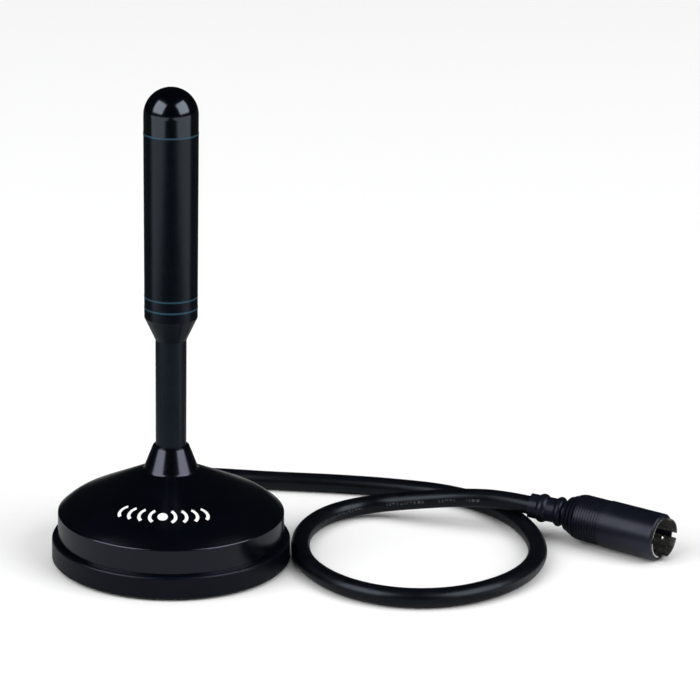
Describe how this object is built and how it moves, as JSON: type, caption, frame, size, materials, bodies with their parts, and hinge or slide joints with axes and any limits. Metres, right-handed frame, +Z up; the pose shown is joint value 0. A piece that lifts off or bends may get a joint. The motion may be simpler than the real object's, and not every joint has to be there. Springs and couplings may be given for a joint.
{
  "type": "magnetic base whip antenna",
  "caption": "Short whip antenna on a round two-step magnetic base, with a coaxial lead in one loop and a moulded push-on plug.",
  "frame": {"origin": "middle of the underside of the rubber pad, on the surface that the antenna stands on", "axes": "+Z up along the mast and barrel; the front of the base, with its mark, faces -Y; the plug lies on the +X side"},
  "size_m": [0.1839, 0.1072, 0.1414],
  "materials": {
    "pad_rubber": "matt black rubber sheet",
    "base_gloss": "black moulded plastic, polished",
    "cap_gloss": "black moulded plastic, high gloss",
    "zinc_steel": "zinc plated steel",
    "ferrite": "sintered magnet, dark grey",
    "tinned_brass": "tinned brass sheet",
    "stud_brass": "turned brass",
    "nylon": "natural nylon",
    "seal_rubber": "matt black rubber",
    "mast_black": "satin black",
    "barrel_satin": "satin black with a blue cast",
    "accent_blue": "thin steel-blue line",
    "dome_gloss": "black, high gloss",
    "copper_wire": "enamelled copper wire",
    "grommet_rubber": "black soft rubber",
    "lead_jacket": "black PVC jacket, slight sheen",
    "foam_core": "white foamed polyethylene",
    "tinned_braid": "tinned copper braid, twisted",
    "plug_moulding": "dark moulded PVC, satin",
    "plug_nickel": "nickel plated spring shell",
    "plug_insulator": "dark insulator",
    "plug_pin_metal": "bright centre pin"
  },
  "bodies": {
    "base": {"base_pad": "pad_rubber", "base_tray": "base_gloss", "base_cap": "cap_gloss", "base_screws": "zinc_steel", "ring_magnet": "ferrite", "steel_plate": "zinc_steel", "ground_tag": "tinned_brass", "ground_rivet": "tinned_brass", "feed_stud": "stud_brass", "stud_bush": "nylon", "stud_washer": "tinned_brass", "stud_nut": "stud_brass", "lock_nut": "stud_brass", "solder_tag": "tinned_brass", "cable_grommet": "grommet_rubber", "coax_tail": "lead_jacket", "coax_core": "foam_core", "center_conductor": "copper_wire", "braid_pigtail": "tinned_braid", "cable_clamp": "zinc_steel", "clamp_screws": "zinc_steel", "cable": "lead_jacket", "plug_body": "plug_moulding", "plug_shell": "plug_nickel", "plug_insulator": "plug_insulator", "plug_pin": "plug_pin_metal", "crimp_ferrule": "tinned_brass", "lead_end": "foam_core"},
    "seal": {"foot_seal": "seal_rubber"},
    "mast": {"mast_tube": "mast_black", "foot_ferrule": "stud_brass", "feed_rod": "stud_brass", "rod_spacers": "nylon", "barrel_adapter": "barrel_satin", "barrel_sleeve": "barrel_satin", "accent_ring_low": "accent_blue", "accent_ring_mid": "accent_blue", "accent_ring_top": "accent_blue", "dome_cap": "dome_gloss", "coil_former": "nylon", "loading_coil": "copper_wire", "top_load": "stud_brass"}
  },
  "joints": [
    {"name": "mast_lift", "type": "slide", "parent": "base", "child": "seal", "axis": [0, 0, 1], "range_m": [0, 0.008]},
    {"name": "mast_turn", "type": "hinge", "parent": "seal", "child": "mast", "pos_m": [0, 0, 0.0255], "axis": [0, 0, 1], "range_deg": [0, 2520]}
  ],
  "couplings": [
    {"joint": "mast_lift", "follows": "mast_turn", "m_per_rad": 0.00015915}
  ]
}
